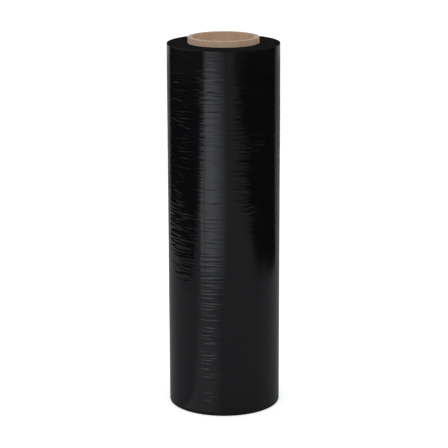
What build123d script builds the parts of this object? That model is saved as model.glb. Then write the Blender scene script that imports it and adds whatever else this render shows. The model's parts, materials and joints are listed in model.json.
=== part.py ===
"""Hand roll of stretch wrap: a web of black film wound on a spiral paperboard core.

The roll stands on end. The origin is the centre of the foot, where the axis meets the
surface that the roll stands on, and +Z runs up the axis. All sizes are millimetres.
"""

import os

from build123d import *

INCH = 25.4

# Driving dimensions
film_width = 18 * INCH  # the web, which is the height of the winding
roll_diameter = 138.6  # over the outermost turn
core_bore = 3 * INCH  # takes a dispenser's spindle or a pair of hand grips
core_wall = 5.8  # ten plies of paperboard, glued into one tube
core_stand_out = 7.3  # bare core above the winding
core_edge_break = 0.4  # cut edges of the core, dulled by the saw
head_round = 0.8  # outer edge of the winding, as the slitter leaves it
foot_round = 2.0  # the same edge at the foot, where the roll has stood

core_diameter = core_bore + 2 * core_wall
core_length = film_width + core_stand_out


# Core tube: cut square at both ends, level with the winding at the foot
with BuildPart() as core_tube:
    with BuildSketch(Plane.XY):
        Circle(core_diameter / 2)
        Circle(core_bore / 2, mode=Mode.SUBTRACT)
    extrude(amount=core_length)
    cut_edges = core_tube.edges().filter_by(GeomType.CIRCLE)
    chamfer(cut_edges, core_edge_break)
core_tube.part.label = "core_tube"


# Film roll: every turn clings to the next, and the first one clings to the core
with BuildPart() as film_roll:
    with BuildSketch(Plane.XY):
        Circle(roll_diameter / 2)
        Circle(core_diameter / 2, mode=Mode.SUBTRACT)
    extrude(amount=film_width)
    rims = film_roll.edges().filter_by(GeomType.CIRCLE)
    outer_rims = rims.group_by(SortBy.RADIUS)[-1].sort_by(Axis.Z)
    fillet(outer_rims[0], foot_round)
    fillet(outer_rims[-1], head_round)
film_roll.part.label = "film_roll"


os.makedirs("parts", exist_ok=True)
export_step(core_tube.part, "parts/core_tube.step")
export_step(film_roll.part, "parts/film_roll.step")
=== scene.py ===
"""Stretch wrap roll: glossy black film wound on a spiral paperboard core, standing on end.

Metres, in the frame's own axes: the foot's centre is the origin, +Z runs up the roll, and
the front faces -Y. Azimuths are degrees round the roll from the front towards +X.
"""

import json
import math

import bmesh
import bpy
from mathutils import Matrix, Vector, noise


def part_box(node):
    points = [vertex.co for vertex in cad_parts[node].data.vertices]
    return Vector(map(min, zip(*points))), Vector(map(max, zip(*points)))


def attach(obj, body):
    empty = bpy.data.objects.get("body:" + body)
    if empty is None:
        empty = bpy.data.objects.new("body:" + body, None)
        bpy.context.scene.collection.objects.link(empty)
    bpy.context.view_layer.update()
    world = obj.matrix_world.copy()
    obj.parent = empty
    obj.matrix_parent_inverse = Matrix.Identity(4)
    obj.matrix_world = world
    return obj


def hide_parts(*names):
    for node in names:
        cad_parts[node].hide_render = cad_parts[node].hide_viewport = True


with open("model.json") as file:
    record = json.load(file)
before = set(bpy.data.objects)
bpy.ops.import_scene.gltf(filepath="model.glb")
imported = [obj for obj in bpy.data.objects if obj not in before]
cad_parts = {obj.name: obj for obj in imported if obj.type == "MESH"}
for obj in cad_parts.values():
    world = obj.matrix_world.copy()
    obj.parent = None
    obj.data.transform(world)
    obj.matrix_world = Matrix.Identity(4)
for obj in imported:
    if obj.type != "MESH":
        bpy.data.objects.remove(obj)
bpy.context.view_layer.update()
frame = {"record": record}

MM = 0.001

# ---------------------------------------------------------------- sizes, from the frame

_, film_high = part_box("film_roll")
_, core_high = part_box("core_tube")
bore_mount = next(mount for mount in frame["record"]["mounts"] if mount["name"] == "core_bore")

WEB = film_high.z  # width of the film, which is the height of the winding
ROLL = film_high.x  # radius over the last turn
CORE = core_high.x  # radius over the core
CORE_TOP = core_high.z
BORE = bore_mount["dims"]["r_mm"] * MM

HEAD_ROUND = 0.8 * MM  # edge of the winding at the top
FOOT_ROUND = 2.0 * MM  # edge that the roll stands on
RIM_BREAK = 0.4 * MM  # sawn edges of the core

ROUND_STEPS = 144  # faces round the roll
ROUND_SEGMENTS = 5  # in the winding's rounded edges
BREAK_SEGMENTS = 2  # in the core's broken edges
ROW = 0.8 * MM  # a row of faces on the winding's side and ends
MERGE = 1e-6  # points nearer to each other than this are one
HAIR = 0.01 * MM  # slack for telling whether a point lies on a surface


# ---------------------------------------------------------------- small helpers

def smooth_step(low, high, value):
    """0 below `low`, 1 above `high`, and an even curve between them."""
    t = min(max((value - low) / (high - low), 0.0), 1.0)
    return t * t * (3.0 - 2.0 * t)


def azimuth_of(place):
    """Degrees from the front towards +X."""
    return math.degrees(math.atan2(place.x, -place.y))


def toward(azimuth, radius, height):
    """The point at an azimuth in degrees, a radius and a height."""
    turn = math.radians(azimuth)
    return Vector((radius * math.sin(turn), -radius * math.cos(turn), height))


def turned_away(azimuth, other):
    """Degrees between two azimuths, the short way round."""
    return abs((azimuth - other + 180.0) % 360.0 - 180.0)


def half_section(bm, inner, outer, top):
    """A ring's half section in the XZ plane; the corners run from the inner foot, outwards first."""
    places = [(inner, 0.0), (outer, 0.0), (outer, top), (inner, top)]
    corners = [bm.verts.new((x, 0.0, z)) for x, z in places]
    for corner, following in zip(corners, corners[1:] + corners[:1]):
        bm.edges.new((corner, following))
    return corners


def round_off(bm, corners, size, segments):
    """Rounds corners of a section."""
    bmesh.ops.bevel(
        bm, geom=corners, offset=size, segments=segments, profile=0.5, affect="VERTICES", material=-1,
    )


def spin(bm, degrees=360.0, steps=ROUND_STEPS):
    """Turns what the bmesh holds about the roll's axis, and closes a whole turn."""
    bmesh.ops.spin(
        bm, geom=bm.verts[:] + bm.edges[:], cent=(0, 0, 0), axis=(0, 0, 1), dvec=(0, 0, 0),
        angle=math.radians(degrees), steps=steps, use_merge=degrees == 360.0, use_duplicate=False,
    )


def finished(bm, name, *materials, smooth=True):
    """Turns a bmesh into an object at the origin, with the materials in slot order."""
    bmesh.ops.remove_doubles(bm, verts=bm.verts, dist=MERGE)
    bmesh.ops.recalc_face_normals(bm, faces=bm.faces)
    mesh = bpy.data.meshes.new(name)
    for face in bm.faces:
        face.smooth = smooth
    bm.to_mesh(mesh)
    bm.free()
    for material in materials:
        mesh.materials.append(material)
    piece = bpy.data.objects.new(name, mesh)
    bpy.context.scene.collection.objects.link(piece)
    return piece


class Shader:
    """A node tree under construction."""

    def __init__(self, tree):
        self.tree = tree

    def add(self, kind, settings=None, **inputs):
        """Makes a node, sets its fields, and sets or joins its inputs.

        An input goes by its name, with underscores for spaces, or as `_2` by its number.
        """
        node = self.tree.nodes.new("ShaderNode" + kind)
        for field, value in (settings or {}).items():
            setattr(node, field, value)
        for key, value in inputs.items():
            socket = node.inputs[int(key[1:])] if key[0] == "_" else node.inputs[key.replace("_", " ")]
            if isinstance(value, bpy.types.NodeSocket):
                self.tree.links.new(value, socket)
            else:
                socket.default_value = value
        return node

    def maths(self, operation, first, *second):
        """One step of arithmetic, on one value or two."""
        inputs = {f"_{number}": value for number, value in enumerate((first, *second))}
        return self.add("Math", {"operation": operation}, **inputs).outputs[0]

    def ramp(self, value, low=0.0, high=1.0, start=0.0, end=1.0):
        """Runs from `start` at `low` to `end` at `high`, and level beyond them."""
        return self.add("MapRange", Value=value, _1=low, _2=high, _3=start, _4=end).outputs[0]

    def noise(self, place, **inputs):
        """Cloudy noise, from 0 to 1 round a half."""
        return self.add("TexNoise", Vector=place, **inputs).outputs[0]

    def mix(self, amount, first, second):
        """Goes from one colour to the other as the amount grows."""
        return self.add("Mix", {"data_type": "RGBA"}, _0=amount, _6=first, _7=second).outputs[2]

    def shade(self, value, span, dark, light):
        """Runs from the dark colour to the light one over the span."""
        node = self.add("ValToRGB", Fac=value)
        first, last = node.color_ramp.elements
        first.position = span[0]
        first.color = dark
        last.position = span[1]
        last.color = light
        return node.outputs[0]

    def show(self, node, output="OutputMaterial"):
        """Makes the node the tree's result."""
        self.tree.links.new(node.outputs[0], self.add(output).inputs[0])


def new_material(name):
    """A material with an empty node tree, and the shader that fills it."""
    material = bpy.data.materials.new(name)
    material.use_nodes = True
    material.node_tree.nodes.clear()
    return material, Shader(material.node_tree)


# ---------------------------------------------------------------- camera

LENS = 147.9
SENSOR = 36.0
CAMERA_BACK = 2.226
CAMERA_UP = 0.793
CAMERA_DOWN = 14.22  # degrees below the horizon
CAMERA_ROLL = 0.16  # the view leans a little
FAR_CLIP = 60.0

camera = bpy.data.objects.new("camera", bpy.data.cameras.new("camera"))
camera.data.lens = LENS
camera.data.sensor_width = SENSOR
camera.data.clip_end = FAR_CLIP
camera.location = (0.0, -CAMERA_BACK, CAMERA_UP)
camera.rotation_mode = "ZYX"
camera.rotation_euler = (math.radians(90.0 - CAMERA_DOWN), 0.0, -math.radians(CAMERA_ROLL))
bpy.context.scene.collection.objects.link(camera)
bpy.context.scene.camera = camera


# ---------------------------------------------------------------- creases in the outer turns

# Creased areas: azimuth, height, and half of each size (degrees, metres), then the strength
CREASED = [
    (-60, 0.330, 34, 0.110, 0.75),
    (-58, 0.245, 30, 0.055, 1.00),
    (-50, 0.190, 22, 0.035, 0.80),
    (-12, 0.390, 22, 0.070, 0.45),
    (6, 0.330, 16, 0.120, 0.40),
    (24, 0.262, 20, 0.012, 0.70),
    (34, 0.342, 26, 0.016, 0.60),
    (20, 0.300, 14, 0.050, 0.35),
    (70, 0.225, 12, 0.030, 0.45),
    (98, 0.350, 26, 0.070, 0.80),
    (140, 0.260, 34, 0.120, 0.90),
    (-150, 0.330, 30, 0.090, 0.80),
    (-165, 0.150, 26, 0.060, 0.60),
    (-105, 0.120, 24, 0.050, 0.50),
    (110, 0.110, 22, 0.040, 0.50),
]

# Rippled areas, in the same terms
RIPPLED = [
    (-17, 0.055, 14, 0.085, 2.20),
    (-17, 0.120, 15, 0.080, 1.10),
    (-16, 0.190, 16, 0.090, 0.60),
    (-14, 0.330, 20, 0.150, 1.00),
    (20, 0.330, 24, 0.130, 0.30),
    (-60, 0.260, 36, 0.150, 0.30),
    (112, 0.240, 30, 0.260, 0.60),
    (-128, 0.200, 30, 0.240, 0.60),
    (172, 0.330, 30, 0.150, 0.70),
]
QUIET = 0.06  # ripples outside those areas

FULL_TO = 0.35  # share of an area's half size at which it starts to fade
GONE_AT = 1.25  # and at which it ends

# Streaks: length round the roll, pitch up it, and noise seed; then how high they rise, in mm
SWELL = (60 * MM, 34 * MM, 3.1)
SWELL_RISE = 0.035
WAVES = (34 * MM, 9 * MM, 7.7)
WAVE_RISE = 0.030
WAVE_SHARE = 0.3  # of the waves' rise, left where there are no ripples
RIPPLES = (24 * MM, 2.0 * MM, 1.9)
RIPPLE_RISE = 0.23
FOLDS = (34 * MM, 4.2 * MM, 5.3)
FOLD_RISE = 0.36
FOLD_SHARPNESS = 2.4
PLEATS = (22 * MM, 2.6 * MM, 9.4)
PLEAT_RISE = 0.20
PLEAT_SHARPNESS = 2.6

SLIDE = 1.2 * MM  # how far streaks wander up and down
SLIDE_PITCH = 45 * MM
SLIDE_STRETCH = 0.6  # the wander changes more slowly up the roll than round it
END_BAND = 5 * MM  # strip at each end of the winding in which the creases die out

TAIL = 156.0  # azimuth of the film's loose end, which clings to the turn below
TAIL_STEP = 0.07 * MM
TAIL_WANDER = 1.6  # degrees
TAIL_PITCH = 40 * MM


def streaks(place, length, pitch, seed):
    """Noise drawn out round the roll: `length` along the web, `pitch` from one streak to the next."""
    x, y, z = place
    return noise.noise(Vector((x / length + seed, y / length - seed, z / pitch + seed)))


def slanted(place):
    """The same place, slid up or down so that streaks there run a little out of level."""
    slide = SLIDE * noise.noise(Vector((place.x, place.y, SLIDE_STRETCH * place.z)) / SLIDE_PITCH)
    return Vector((place.x, place.y, place.z + slide))


def ridge(wave, sharpness):
    """1 along the lines where the wave crosses zero, and 0 away from them."""
    return max(1.0 - sharpness * abs(wave), 0.0)


def strongest(areas, azimuth, height):
    """The strength of the areas at a place, fading out at their edges."""
    most = 0.0
    for centre, level, wide, tall, strength in areas:
        across = turned_away(azimuth, centre) / wide
        up = (height - level) / tall
        most = max(most, strength * (1.0 - smooth_step(FULL_TO, GONE_AT, math.hypot(across, up))))
    return most


def relief(place):
    """Rise of the outer turn above a true cylinder, in metres, and how creased it is there."""
    azimuth = azimuth_of(place)
    there = slanted(place)
    creased = strongest(CREASED, azimuth, place.z)
    rippled = QUIET + (1.0 - QUIET) * strongest(RIPPLED, azimuth, place.z)
    rise = SWELL_RISE * streaks(there, *SWELL)
    rise += WAVE_RISE * (WAVE_SHARE + rippled) * streaks(there, *WAVES)
    rise += RIPPLE_RISE * rippled * streaks(there, *RIPPLES)
    rise += FOLD_RISE * creased * ridge(streaks(there, *FOLDS), FOLD_SHARPNESS) ** 3
    rise += PLEAT_RISE * creased * ridge(streaks(there, *PLEATS), PLEAT_SHARPNESS) ** 2
    edge = TAIL + TAIL_WANDER * noise.noise(Vector((0.0, 0.0, place.z / TAIL_PITCH)))
    rise += TAIL_STEP / MM * ((edge - azimuth) % 360.0) / 360.0
    ends = smooth_step(0.0, END_BAND, place.z) * smooth_step(0.0, END_BAND, WEB - place.z)
    return rise * MM * ends, creased


# ---------------------------------------------------------------- wound film

LONG_EDGE = 10 * MM  # edges of the section longer than this are cut into rows
TURN_SHIFT = 0.12  # how unevenly the turns' edges line up at the ends, in mm
TURN_BIAS = 0.6
TURN_BAND = 1.4 * MM  # turns that lie together
TURN_LINE = 0.3  # line of the noise that the turns' places are read from
FOOT_LINE = 0.3 * MM  # faces below this belong to the cut end


def turn_shift(radius, up):
    """How far the turns at a radius stand back from the top (`up` of 1) or the foot (-1)."""
    shift = TURN_SHIFT * (TURN_BIAS + noise.noise(Vector((radius / TURN_BAND, TURN_LINE, up))))
    return max(shift, 0.0) * MM


def cut_into_rows(bm):
    """Divides the section's long edges, except the one against the core."""
    for edge in bm.edges[:]:
        start, end = (vert.co for vert in edge.verts)
        length = (start - end).length
        if length > LONG_EDGE and max(start.x, end.x) > CORE + HAIR:
            bmesh.ops.subdivide_edges(bm, edges=[edge], cuts=round(length / ROW) - 1)


def wind_film(side, cut_end):
    """The winding, spun from its section, with creases in its side and uneven turns at its ends."""
    bm = bmesh.new()
    _, foot_corner, head_corner, _ = half_section(bm, CORE, ROLL, WEB)
    round_off(bm, [foot_corner], FOOT_ROUND, ROUND_SEGMENTS)
    round_off(bm, [head_corner], HEAD_ROUND, ROUND_SEGMENTS)
    cut_into_rows(bm)
    spin(bm)
    bmesh.ops.remove_doubles(bm, verts=bm.verts, dist=MERGE)
    creased = bm.verts.layers.float.new("creased")
    for vert in bm.verts:
        radius = math.hypot(vert.co.x, vert.co.y)
        if radius > ROLL - HAIR and FOOT_ROUND < vert.co.z < WEB - HEAD_ROUND:
            rise, share = relief(vert.co)
            vert[creased] = share
            vert.co.xy *= (ROLL + rise) / radius
        elif CORE + HAIR < radius < ROLL - FOOT_ROUND:
            up = 1.0 if vert.co.z > WEB / 2 else -1.0
            vert.co.z -= up * turn_shift(radius, up)
    for face in bm.faces:
        middle = face.calc_center_median()
        outside = math.hypot(middle.x, middle.y) > ROLL - FOOT_ROUND
        on_side = outside and FOOT_LINE < middle.z < WEB - HEAD_ROUND
        face.material_index = 0 if on_side else 1
    return finished(bm, "wound_film", side, cut_end)


# ---------------------------------------------------------------- paper core

def paper_tube(kraft):
    """The core, spun from its section, with its sawn edges broken."""
    bm = bmesh.new()
    half_section(bm, BORE, CORE, CORE_TOP)
    round_off(bm, bm.verts[:], RIM_BREAK, BREAK_SEGMENTS)
    spin(bm)
    return finished(bm, "paper_core", kraft)


# ---------------------------------------------------------------- materials

FILM_BLACK = (0.0035, 0.0035, 0.0040, 1)
FILM_IOR = 1.5
FILM_ROUGHNESS = (0.10, 0.17)  # least and most
RIPPLE_STRETCH = (45.0, 45.0, 420.0)  # fine ripples lie round the roll
RIPPLE_DEPTH = 0.03 * MM
RIPPLE_LEAST = 0.25  # share of their depth where the film isn't creased

CUT_FILM_DARK = (0.0060, 0.0060, 0.0066, 1)
CUT_FILM_LIGHT = (0.0150, 0.0145, 0.0148, 1)
CUT_FILM_ROUGHNESS = (0.50, 0.68)
BANDS_PER_METRE = 420.0
BAND_DEPTH = 0.12 * MM
TURNS_PER_METRE = 2600.0
TURN_DEPTH = 0.03 * MM
DUST_TONE = 0.35  # share of the dust in the tone, beside the bands

KRAFT_DARK = (0.43, 0.275, 0.180, 1)
KRAFT_LIGHT = (0.56, 0.375, 0.255, 1)
KRAFT_STRAND = (0.66, 0.50, 0.36, 1)
KRAFT_FLECK = (0.20, 0.11, 0.06, 1)
KRAFT_SAWN = (0.74, 0.56, 0.42, 1)
KRAFT_GAP = (0.17, 0.10, 0.06, 1)
STRANDS = 0.35  # most of a colour that is laid over the paper
FLECKS = 0.45
SAWN = 0.55
GAPS = 0.55
KRAFT_ROUGHNESS = 0.58
SAWN_ROUGHNESS = 0.92
KRAFT_SHEEN = 0.35
FIBRE_LEAN = 0.45  # radians
FIBRE_STRETCH = (260.0, 260.0, 900.0)
NAP_DEPTH = 0.08 * MM
GAP_DEPTH = 0.20 * MM

PLIES = 10  # layers of paper in the core's wall
SPIRAL = 124 * MM  # rise of the core's paper strip in one turn
BORE_SEAM = 0.284  # where in its turn the seam starts at the foot, in the bore
OUTER_SEAM = 0.504  # and outside, so that it is at the back where the core stands out
SKIN = 1 * MM  # depth of the paper at the bore and at the outside

# Where a mask begins and ends
NOISE_SPAN = (0.3, 0.7)  # most of a noise lies in here
CLOUD_SPAN = (0.30, 0.72)
FACING_UP = (0.35, 0.8)  # how far a surface faces up or down before it counts as sawn
FLECK_EDGE = (0.10, 0.22)  # shares of a cell
SEAM_EDGE = (0.0016, 0.0042)  # shares of a turn
PLY_EDGE = (0.04, 0.22)  # shares of a ply


def radius_of(shader, place):
    """Distance from the roll's axis, and the parts of the place."""
    parts = shader.add("SeparateXYZ", Vector=place)
    flat = shader.add("CombineXYZ", X=parts.outputs["X"], Y=parts.outputs["Y"])
    far = shader.add("VectorMath", {"operation": "LENGTH"}, _0=flat.outputs[0])
    return far.outputs["Value"], parts.outputs


def ring_noise_group():
    """Noise that changes only with the distance from the axis, as wound turns do."""
    tree = bpy.data.node_groups.new("ring_noise", "ShaderNodeTree")
    tree.interface.new_socket("Place", in_out="INPUT", socket_type="NodeSocketVector")
    tree.interface.new_socket("Rings per metre", in_out="INPUT", socket_type="NodeSocketFloat")
    tree.interface.new_socket("Tone", in_out="OUTPUT", socket_type="NodeSocketFloat")
    entry = tree.nodes.new("NodeGroupInput")
    leave = tree.nodes.new("NodeGroupOutput")
    shader = Shader(tree)
    far, _ = radius_of(shader, entry.outputs["Place"])
    rings = shader.maths("MULTIPLY", far, entry.outputs["Rings per metre"])
    tone = shader.add("TexNoise", {"noise_dimensions": "1D"}, W=rings, Scale=1.0, Detail=3.0)
    tree.links.new(tone.outputs[0], leave.inputs["Tone"])
    return tree


def film_side_material():
    """Glossy black film, with fine ripples that are deeper where it is creased."""
    material, shader = new_material("black_film_side")
    place = shader.add("TexCoord").outputs["Object"]

    drawn = shader.add("Mapping", Vector=place, Scale=RIPPLE_STRETCH).outputs[0]
    ripples = shader.noise(drawn, Scale=1.0, Detail=3.0, Roughness=0.55)
    creased = shader.add("Attribute", {"attribute_name": "creased"}).outputs["Fac"]
    height = shader.maths("MULTIPLY", ripples, shader.ramp(creased, start=RIPPLE_LEAST))
    bump = shader.add("Bump", Strength=1.0, Distance=RIPPLE_DEPTH, Height=height)

    cloud = shader.noise(place, Scale=22.0, Detail=3.0)
    body = shader.add(
        "BsdfPrincipled", Base_Color=FILM_BLACK, IOR=FILM_IOR, Normal=bump.outputs[0],
        Roughness=shader.ramp(cloud, *NOISE_SPAN, *FILM_ROUGHNESS),
    )
    shader.show(body)
    return material


def film_end_material():
    """The slit edges of the turns: matt, in bands that are a little lighter and darker."""
    material, shader = new_material("cut_film_edges")
    place = shader.add("TexCoord").outputs["Object"]
    ring_noise = {"node_tree": ring_noise_group()}
    bands = shader.add("Group", ring_noise, Place=place, Rings_per_metre=BANDS_PER_METRE).outputs[0]
    turns = shader.add("Group", ring_noise, Place=place, Rings_per_metre=TURNS_PER_METRE).outputs[0]

    dust = shader.noise(place, Scale=900.0, Detail=4.0)
    tone = shader.add("Mix", {"data_type": "FLOAT"}, _0=DUST_TONE, _2=bands, _3=dust).outputs[0]
    color = shader.shade(tone, NOISE_SPAN, CUT_FILM_DARK, CUT_FILM_LIGHT)
    coarse = shader.add("Bump", Strength=0.7, Distance=BAND_DEPTH, Height=bands)
    fine = shader.add("Bump", Strength=0.6, Distance=TURN_DEPTH, Height=turns, Normal=coarse.outputs[0])
    body = shader.add(
        "BsdfPrincipled", Base_Color=color, Specular_IOR_Level=0.0, Normal=fine.outputs[0],
        Roughness=shader.ramp(bands, *NOISE_SPAN, *CUT_FILM_ROUGHNESS),
    )
    shader.show(body)
    return material


def spiral_seam(shader, far, parts):
    """1 along the gap between two turns of the paper strip, and 0 elsewhere."""
    turn = shader.maths("DIVIDE", shader.maths("ARCTAN2", parts["Y"], parts["X"]), math.tau)
    climb = shader.maths("DIVIDE", parts["Z"], SPIRAL)
    start = shader.ramp(far, BORE + SKIN, CORE - SKIN, BORE_SEAM, OUTER_SEAM)
    wound = shader.maths("ADD", shader.maths("SUBTRACT", climb, turn), start)
    apart = shader.maths("PINGPONG", shader.maths("FRACT", wound), 0.5)
    return shader.ramp(apart, *SEAM_EDGE, 1.0, 0.0)


def ply_lines(shader, far, sawn):
    """1 along the joints between plies, on the sawn ends only."""
    depth = shader.maths("DIVIDE", shader.maths("SUBTRACT", far, BORE), (CORE - BORE) / PLIES)
    apart = shader.maths("PINGPONG", shader.maths("FRACT", depth), 0.5)
    return shader.maths("MULTIPLY", shader.ramp(apart, *PLY_EDGE, 1.0, 0.0), sawn)


def kraft_material():
    """Brown paperboard: fibres, flecks, a spiral butt seam, and plies at the sawn ends."""
    material, shader = new_material("kraft_paperboard")
    place = shader.add("TexCoord").outputs["Object"]
    far, parts = radius_of(shader, place)
    facing = shader.add("SeparateXYZ", Vector=shader.add("NewGeometry").outputs["Normal"])
    sawn = shader.ramp(shader.maths("ABSOLUTE", facing.outputs["Z"]), *FACING_UP)
    gap = shader.maths("MAXIMUM", spiral_seam(shader, far, parts), ply_lines(shader, far, sawn))

    lean = shader.add(
        "Mapping", Vector=place, Rotation=(FIBRE_LEAN, 0.0, 0.0), Scale=FIBRE_STRETCH,
    )
    fibres = shader.noise(lean.outputs[0], Scale=1.0, Detail=5.0, Roughness=0.65)
    cloud = shader.noise(place, Scale=70.0, Detail=4.0, Roughness=0.6)
    pulp = shader.add("TexVoronoi", Vector=place, Scale=1500.0).outputs["Distance"]
    fleck = shader.ramp(pulp, *FLECK_EDGE, 1.0, 0.0)

    color = shader.shade(cloud, CLOUD_SPAN, KRAFT_DARK, KRAFT_LIGHT)
    color = shader.mix(shader.ramp(fibres, *NOISE_SPAN, 0.0, STRANDS), color, KRAFT_STRAND)
    color = shader.mix(shader.maths("MULTIPLY", fleck, FLECKS), color, KRAFT_FLECK)
    color = shader.mix(shader.maths("MULTIPLY", sawn, SAWN), color, KRAFT_SAWN)
    color = shader.mix(shader.maths("MULTIPLY", gap, GAPS), color, KRAFT_GAP)

    nap = shader.add("Bump", Strength=0.8, Distance=NAP_DEPTH, Height=fibres)
    groove = shader.add(
        "Bump", {"invert": True}, Strength=1.0, Distance=GAP_DEPTH, Height=gap, Normal=nap.outputs[0],
    )
    body = shader.add(
        "BsdfPrincipled", Base_Color=color, Specular_IOR_Level=KRAFT_SHEEN, Normal=groove.outputs[0],
        Roughness=shader.ramp(sawn, start=KRAFT_ROUGHNESS, end=SAWN_ROUGHNESS),
    )
    shader.show(body)
    return material


film_roll = wind_film(film_side_material(), film_end_material())
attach(film_roll, "root")
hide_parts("film_roll")

core_tube = paper_tube(kraft_material())
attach(core_tube, "root")
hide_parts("core_tube")


# ---------------------------------------------------------------- studio

FLOOR_RADIUS = 14.0
FLOOR_SEGMENTS = 64
SHEET_LEVEL = 2 * MM  # the glowing sheet, a painted pool of the strip softbox's light on the table, lies over the cloths
CLOTH_LEVEL = 1 * MM
EDGE_SLACK = 0.5  # degrees, so that a card's first edge isn't read as a whole turn further on

PAPER_WHITE = (0.8, 0.8, 0.8, 1)
PAPER_LIFT = 0.50  # light added to the floor where it is seen
TABLE_GREY = (0.29, 0.29, 0.295, 1)
CLOTH_BLACK = (0.01, 0.01, 0.01, 1)
SOFTBOX_TINT = (0.94, 0.96, 1.0, 1)
ROOM_TINT = (0.97, 0.985, 1.0, 1)
ROOM_DARK = 0.03  # radiance at the horizon
ROOM_BRIGHT = 0.95  # and overhead
ROOM_BRIGHT_FROM = 0.55  # sine of the angle above the horizon

STRIP = 0.71  # distance of the strip softbox from the axis
STRIP_FADE = ((0.0, 0.85), (0.10, 1.0), (0.22, 1.0), (0.34, 0.72), (0.46, 0.15), (0.60, 0.05))
WING_FADE = ((0.0, 0.85), (0.10, 1.0), (0.20, 0.5), (0.28, 0.0))
NO_FADE = ((0.0, 1.0), (1.0, 1.0))

# Cards bent round the roll: name, section as (radius, height) points, glow as (azimuth, radiance)
# stops, and fade as (height, share of the glow) stops
CARDS = [
    ("strip_softbox", [(STRIP, height) for height, _ in STRIP_FADE],
     [(-39, 0.3), (-36, 1.4), (-22, 1.4), (6, 0.27)], STRIP_FADE),
    ("strip_softbox_wing", [(STRIP, height) for height, _ in WING_FADE],
     [(-48, 0.5), (-44, 1.3), (-39, 1.4)], WING_FADE),
    # Painted light: a glowing sheet flat on the table stands for the strip softbox's light pooled on
    # the table, as the film mirrors it; it is no lamp and lights nothing else
    ("painted_light_sheet", [(0.075, SHEET_LEVEL), (0.70, SHEET_LEVEL)],
     [(-55, 0.27), (-49, 0.42), (-20, 0.42), (-6, 0.27)], NO_FADE),
    ("left_softbox", [(1.5, 0.33), (1.5, 1.6)], [(-135, 0.75), (-48, 0.75)], NO_FADE),
    ("right_softbox", [(2.6, 0.75), (2.6, 1.9)], [(50, 0.5), (120, 0.5)], NO_FADE),
    ("front_softbox", [(2.4, 1.4), (2.4, 2.6)], [(-35, 2.2), (35, 2.2)], NO_FADE),
    ("back_paper", [(2.8, 0.0), (2.8, 2.2)], [(127, 0.10), (143, 0.45), (220, 0.45)], NO_FADE),
]

RIGHT_CLOTH = [
    (0.56, 0.437), (0.71, 0.0), (0.68, -0.25), (0.95, -1.0), (0.95, -3.2), (4.0, -3.2), (4.0, 3.12),
]
LEFT_CLOTH = [
    (-0.60, 0.71), (-3.4, 4.05), (-4.0, -3.2), (-2.4, -3.2), (-1.75, -2.05), (-0.66, -0.30),
    (-0.82, 0.22),
]


def keep_from_view(thing, lights_up):
    """Leaves a thing in the film's gloss only, and in the soft light too if it `lights_up` the rest."""
    thing.visible_camera = False
    thing.visible_shadow = False
    thing.visible_diffuse = lights_up


def softbox_material():
    """Light whose strength is painted on the card."""
    material, shader = new_material("softbox_glow")
    glow = shader.add("Attribute", {"attribute_name": "glow"}).outputs["Fac"]
    shader.show(shader.add("Emission", Color=SOFTBOX_TINT, Strength=glow))
    return material


def cloth_material():
    """Matt black, which the film mirrors as its darkest parts."""
    material, shader = new_material("black_cloth")
    shader.show(shader.add("BsdfDiffuse", Color=CLOTH_BLACK))
    return material


def floor_material():
    """White to the eye; to everything else a plain grey table."""
    material, shader = new_material("pale_table")
    seen = shader.add("LightPath").outputs["Is Camera Ray"]
    paper = shader.add("BsdfDiffuse", Color=PAPER_WHITE)
    lift = shader.add("Emission", Strength=PAPER_LIFT)
    white = shader.add("AddShader", _0=paper.outputs[0], _1=lift.outputs[0])
    table = shader.add("BsdfDiffuse", Color=TABLE_GREY)
    shader.show(shader.add("MixShader", Fac=seen, _1=table.outputs[0], _2=white.outputs[0]))
    return material


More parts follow.
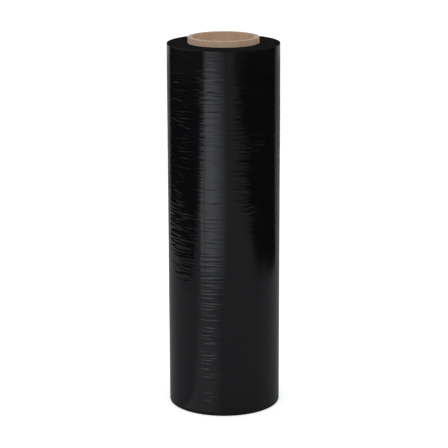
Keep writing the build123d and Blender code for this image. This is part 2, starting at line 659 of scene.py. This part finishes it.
def studio_world():
    """White behind the roll; for the light, a soft ceiling over a dark room."""
    world = bpy.data.worlds.new("studio")
    bpy.context.scene.world = world
    world.use_nodes = True
    world.node_tree.nodes.clear()
    shader = Shader(world.node_tree)
    up = shader.add("SeparateXYZ", Vector=shader.add("TexCoord").outputs["Generated"]).outputs["Z"]
    ceiling = shader.add(
        "MapRange", {"interpolation_type": "SMOOTHSTEP"}, Value=up,
        _1=0.0, _2=ROOM_BRIGHT_FROM, _3=ROOM_DARK, _4=ROOM_BRIGHT,
    )
    seen = shader.add("LightPath").outputs["Is Camera Ray"]
    room = shader.add("Background", Color=ROOM_TINT, Strength=ceiling.outputs[0])
    paper = shader.add("Background", Color=(1, 1, 1, 1), Strength=1.0)
    pick = shader.add("MixShader", Fac=seen, _1=room.outputs[0], _2=paper.outputs[0])
    shader.show(pick, "OutputWorld")


def between(stops, value):
    """Reads a list of (place, amount) stops, level before the first and after the last."""
    amount = stops[0][1]
    for (start, low), (end, high) in zip(stops, stops[1:]):
        if value >= start:
            amount = low + (high - low) * min((value - start) / (end - start), 1.0)
    return amount


def glowing_card(name, section, glow, fade, material):
    """A card bent round the roll; a flat one, painted light on the table, shows in the gloss but gives
    no soft light.
    """
    first, last = glow[0][0], glow[-1][0]
    bm = bmesh.new()
    line = [bm.verts.new(toward(first, radius, height)) for radius, height in section]
    for start, end in zip(line, line[1:]):
        bm.edges.new((start, end))
    spin(bm, last - first, round(last - first))
    layer = bm.verts.layers.float.new("glow")
    for vert in bm.verts:
        azimuth = (azimuth_of(vert.co) - first + EDGE_SLACK) % 360.0 + first - EDGE_SLACK
        vert[layer] = between(glow, azimuth) * between(fade, vert.co.z)
    card = finished(bm, name, material)
    keep_from_view(card, lights_up=section[0][1] != section[-1][1])


def black_cloth(name, outline, material):
    """A matt black cloth laid flat on the table, clear of the roll."""
    bm = bmesh.new()
    bm.faces.new([bm.verts.new((x, y, CLOTH_LEVEL)) for x, y in outline])
    cloth = finished(bm, name, material, smooth=False)
    keep_from_view(cloth, lights_up=False)


def lay_floor():
    """A round table under everything."""
    bm = bmesh.new()
    bmesh.ops.create_circle(bm, cap_ends=True, segments=FLOOR_SEGMENTS, radius=FLOOR_RADIUS)
    finished(bm, "floor", floor_material())


studio_world()
lay_floor()

softbox = softbox_material()
for name, section, glow, fade in CARDS:
    glowing_card(name, section, glow, fade, softbox)

cloth = cloth_material()
black_cloth("right_cloth", RIGHT_CLOTH, cloth)
black_cloth("left_cloth", LEFT_CLOTH, cloth)

bpy.context.scene.view_settings.view_transform = "Standard"
bpy.context.scene.view_settings.look = "None"
